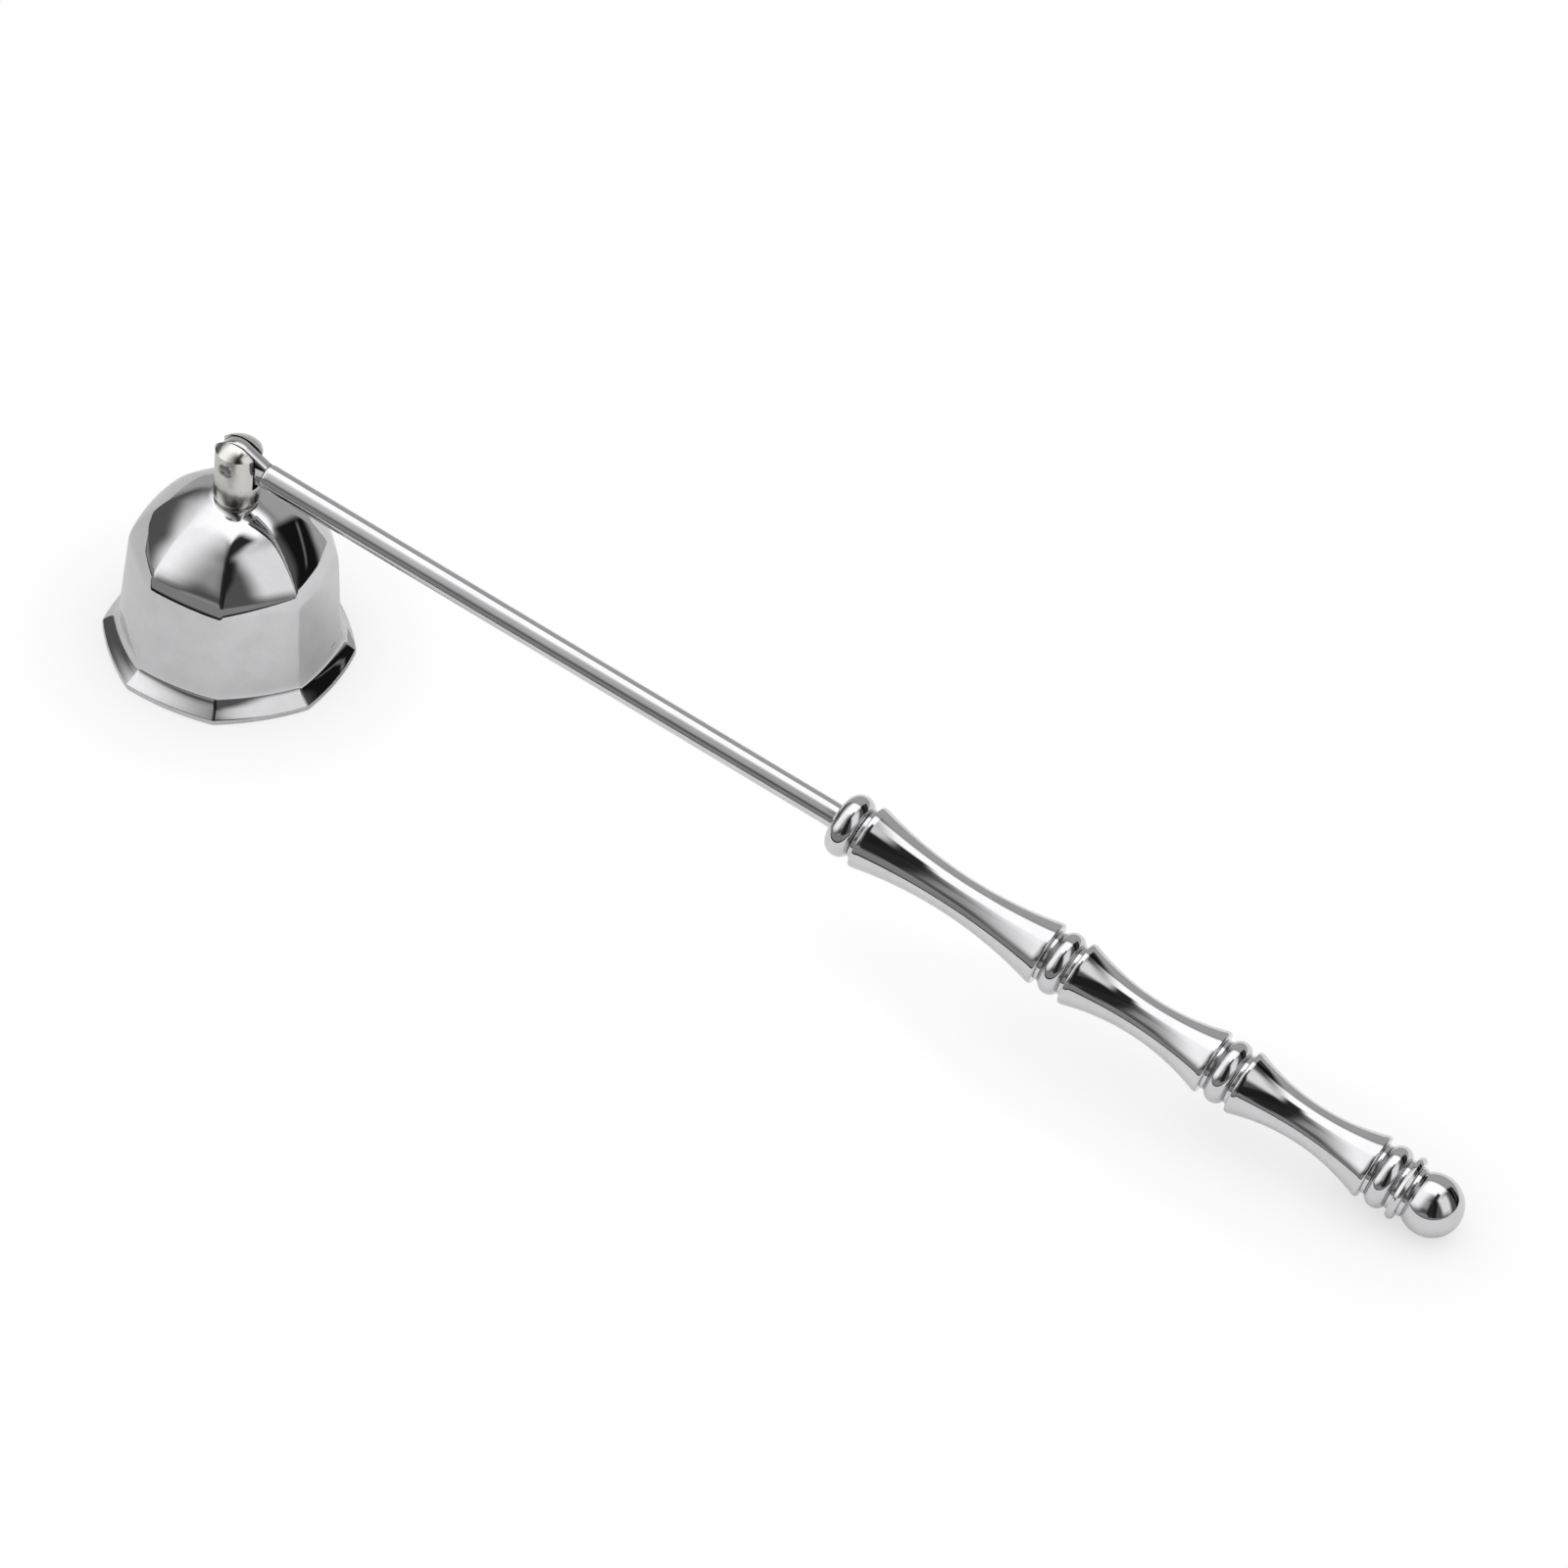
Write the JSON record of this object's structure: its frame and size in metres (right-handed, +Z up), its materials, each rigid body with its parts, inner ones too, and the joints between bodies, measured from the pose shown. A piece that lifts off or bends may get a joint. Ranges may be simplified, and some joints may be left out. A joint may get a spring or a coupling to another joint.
{
  "type": "candle snuffer",
  "caption": "Metal candle snuffer with an eight-sided bell that swings on a slotted hinge post at the end of a thin rod with a turned, beaded handle.",
  "frame": {"origin": "middle of the bell's mouth, in the plane of its rim, on the table", "axes": "+Z up along the bell's axis, +X along the rod towards the handle, +Y across the hinge pin"},
  "size_m": [0.2357, 0.0384, 0.0409],
  "materials": {
    "polished_chrome": "mirror polish, plated",
    "polished_nickel": "fine turned, slightly dull",
    "pin_steel": "cut and lightly peened ends",
    "screw_steel": "plain bright steel"
  },
  "bodies": {
    "bell_head": {"bell": "polished_chrome", "hinge_post": "polished_nickel", "hinge_pin": "pin_steel", "post_screw": "screw_steel", "post_washer": "screw_steel"},
    "handle_arm": {"rod": "polished_chrome", "collar_bead": "polished_chrome", "front_grip": "polished_chrome", "front_bead": "polished_chrome", "middle_grip": "polished_chrome", "middle_bead": "polished_chrome", "rear_grip": "polished_chrome", "rear_bead": "polished_chrome", "end_disc": "polished_chrome", "end_ball": "polished_chrome"}
  },
  "joints": [
    {"name": "bell_hinge", "type": "hinge", "parent": "bell_head", "child": "handle_arm", "pos_m": [0, 0, 0.03741], "axis": [0, -1, 0], "range_deg": [-12, 206]}
  ]
}
